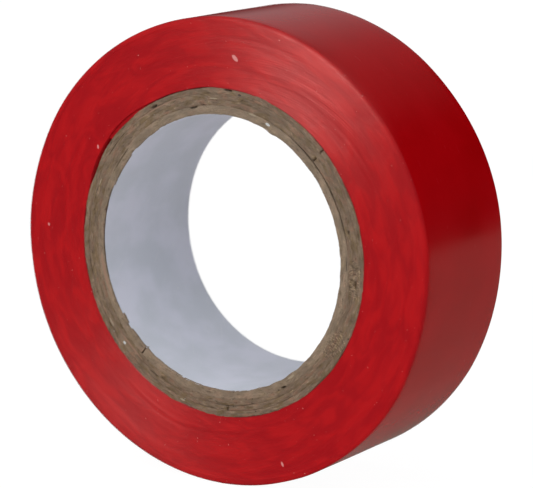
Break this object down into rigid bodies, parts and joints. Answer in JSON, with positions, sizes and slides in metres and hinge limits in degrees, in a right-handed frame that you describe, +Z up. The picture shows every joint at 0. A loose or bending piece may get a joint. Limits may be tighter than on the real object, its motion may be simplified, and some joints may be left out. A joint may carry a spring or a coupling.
{
  "type": "electrical tape roll",
  "caption": "Roll of adhesive PVC electrical tape wound on a spiral-wound paper core, with a free end that peels off the rim.",
  "frame": {"origin": "centre of the bore, at the middle of the tape's width", "axes": "+Y along the bore towards the back face, +Z up with the roll standing on its rim, front face towards -Y"},
  "size_m": [0.0544, 0.018, 0.0545],
  "materials": {
    "liner_paper": "satin",
    "core_board": "matte",
    "tape_film": "gloss",
    "tape_adhesive": "satin"
  },
  "bodies": {
    "roll": {"core_liner": "liner_paper", "core_ply_1": "core_board", "core_ply_2": "core_board", "core_ply_3": "core_board", "core_ply_4": "core_board", "tape_start_fold": "tape_film", "tape_wound_turns": "tape_film"},
    "tail_link_1": {"tape_tail_1": "tape_film"},
    "tail_link_2": {"tape_tail_2": "tape_film"},
    "tail_link_3": {"tape_tail_3": "tape_film"},
    "tail_link_4": {"tape_tail_4": "tape_film"},
    "tail_link_5": {"tape_tail_5": "tape_film"},
    "tail_link_6": {"tape_tail_6": "tape_film"},
    "tail_link_7": {"tape_tail_7": "tape_film"},
    "tail_link_8": {"tape_tail_8": "tape_film"}
  },
  "joints": [
    {"name": "tail_peel", "type": "hinge", "parent": "roll", "child": "tail_link_1", "pos_m": [-0.00006, 0, -0.02731], "axis": [0, -1, 0], "range_deg": [0, 5], "stiffness_Nm_per_rad": 0.001},
    {"name": "tail_flex_2", "type": "hinge", "parent": "tail_link_1", "child": "tail_link_2", "pos_m": [-0.00387, 0, -0.02705], "axis": [0, -1, 0], "range_deg": [0, 5], "stiffness_Nm_per_rad": 0.000766},
    {"name": "tail_flex_3", "type": "hinge", "parent": "tail_link_2", "child": "tail_link_3", "pos_m": [-0.00759, 0, -0.02626], "axis": [0, -1, 0], "range_deg": [0, 5], "stiffness_Nm_per_rad": 0.000563},
    {"name": "tail_flex_4", "type": "hinge", "parent": "tail_link_3", "child": "tail_link_4", "pos_m": [-0.01118, 0, -0.02495], "axis": [0, -1, 0], "range_deg": [0, 5], "stiffness_Nm_per_rad": 0.000391},
    {"name": "tail_flex_5", "type": "hinge", "parent": "tail_link_4", "child": "tail_link_5", "pos_m": [-0.01454, 0, -0.02316], "axis": [0, -1, 0], "range_deg": [0, 5], "stiffness_Nm_per_rad": 0.00025},
    {"name": "tail_flex_6", "type": "hinge", "parent": "tail_link_5", "child": "tail_link_6", "pos_m": [-0.01762, 0, -0.02092], "axis": [0, -1, 0], "range_deg": [0, 5], "stiffness_Nm_per_rad": 0.000141},
    {"name": "tail_flex_7", "type": "hinge", "parent": "tail_link_6", "child": "tail_link_7", "pos_m": [-0.02036, 0, -0.01828], "axis": [0, -1, 0], "range_deg": [0, 5], "stiffness_Nm_per_rad": 0.0000625},
    {"name": "tail_flex_8", "type": "hinge", "parent": "tail_link_7", "child": "tail_link_8", "pos_m": [-0.02271, 0, -0.01527], "axis": [0, -1, 0], "range_deg": [0, 5], "stiffness_Nm_per_rad": 0.0000156}
  ],
  "couplings": [
    {"joint": "tail_flex_2", "follows": "tail_peel", "ratio": 1},
    {"joint": "tail_flex_3", "follows": "tail_peel", "ratio": 1},
    {"joint": "tail_flex_4", "follows": "tail_peel", "ratio": 1},
    {"joint": "tail_flex_5", "follows": "tail_peel", "ratio": 1},
    {"joint": "tail_flex_6", "follows": "tail_peel", "ratio": 1},
    {"joint": "tail_flex_7", "follows": "tail_peel", "ratio": 1},
    {"joint": "tail_flex_8", "follows": "tail_peel", "ratio": 1}
  ]
}
